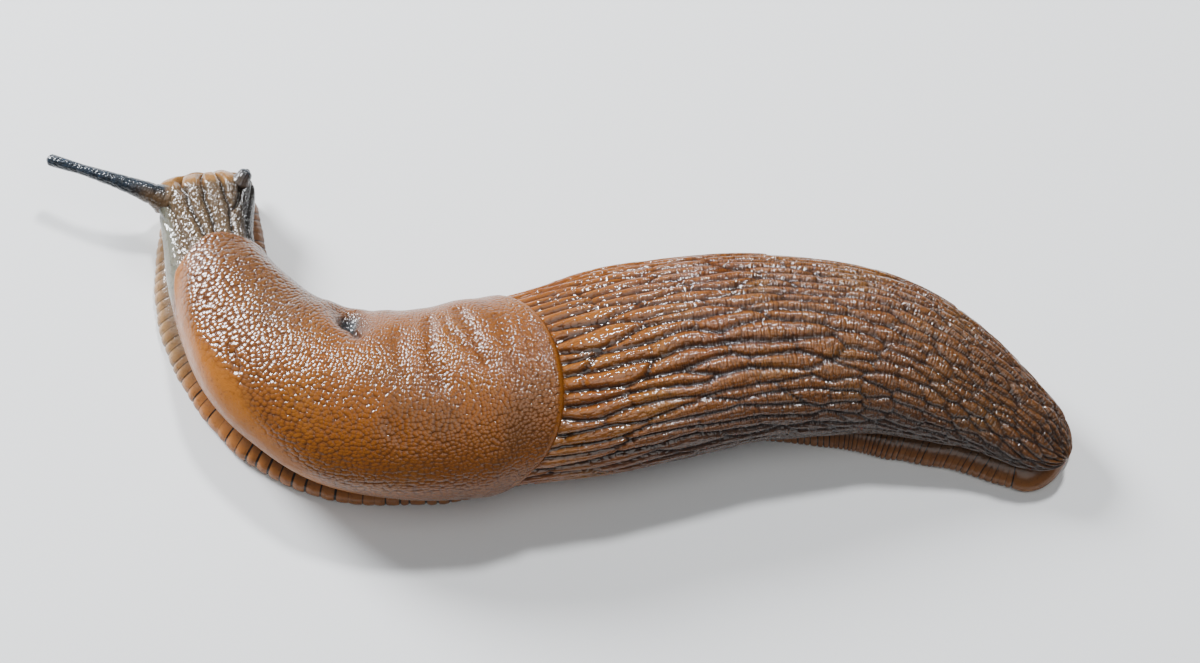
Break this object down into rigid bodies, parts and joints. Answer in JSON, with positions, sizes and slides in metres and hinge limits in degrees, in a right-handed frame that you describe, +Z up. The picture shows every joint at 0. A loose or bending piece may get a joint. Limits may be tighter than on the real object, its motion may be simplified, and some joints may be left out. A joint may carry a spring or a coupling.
{
  "type": "round-back slug",
  "caption": "Life-size still model of a large brown round-back slug crawling in a bend, with a granular mantle, ridged back and striped foot fringe.",
  "frame": {"origin": "on the floor, under the middle of the animal's outline seen from above", "axes": "+Z up, +X towards the tail along the longest extent, +Y towards the head"},
  "size_m": [0.117, 0.043, 0.0155],
  "materials": {
    "back_skin": "wet brown skin with long ridges",
    "mantle_skin": "wet orange-brown granular skin",
    "neck_skin": "wet tan skin with dark furrows",
    "fringe_skin": "wet orange skin with dark cross lines",
    "feeler_skin": "wet blue-black skin",
    "eye": "glossy black"
  },
  "bodies": {
    "root": {"head": "neck_skin", "neck": "neck_skin", "mantle": "mantle_skin", "trunk_front": "back_skin", "trunk_middle": "back_skin", "trunk_rear": "back_skin", "tail": "back_skin", "foot_front": "fringe_skin", "foot_middle": "fringe_skin", "foot_rear": "fringe_skin", "tentacle_upper_left": "feeler_skin", "tentacle_upper_right": "feeler_skin", "tentacle_lower_left": "feeler_skin", "tentacle_lower_right": "feeler_skin", "eye_left": "eye", "eye_right": "eye"}
  },
  "joints": []
}
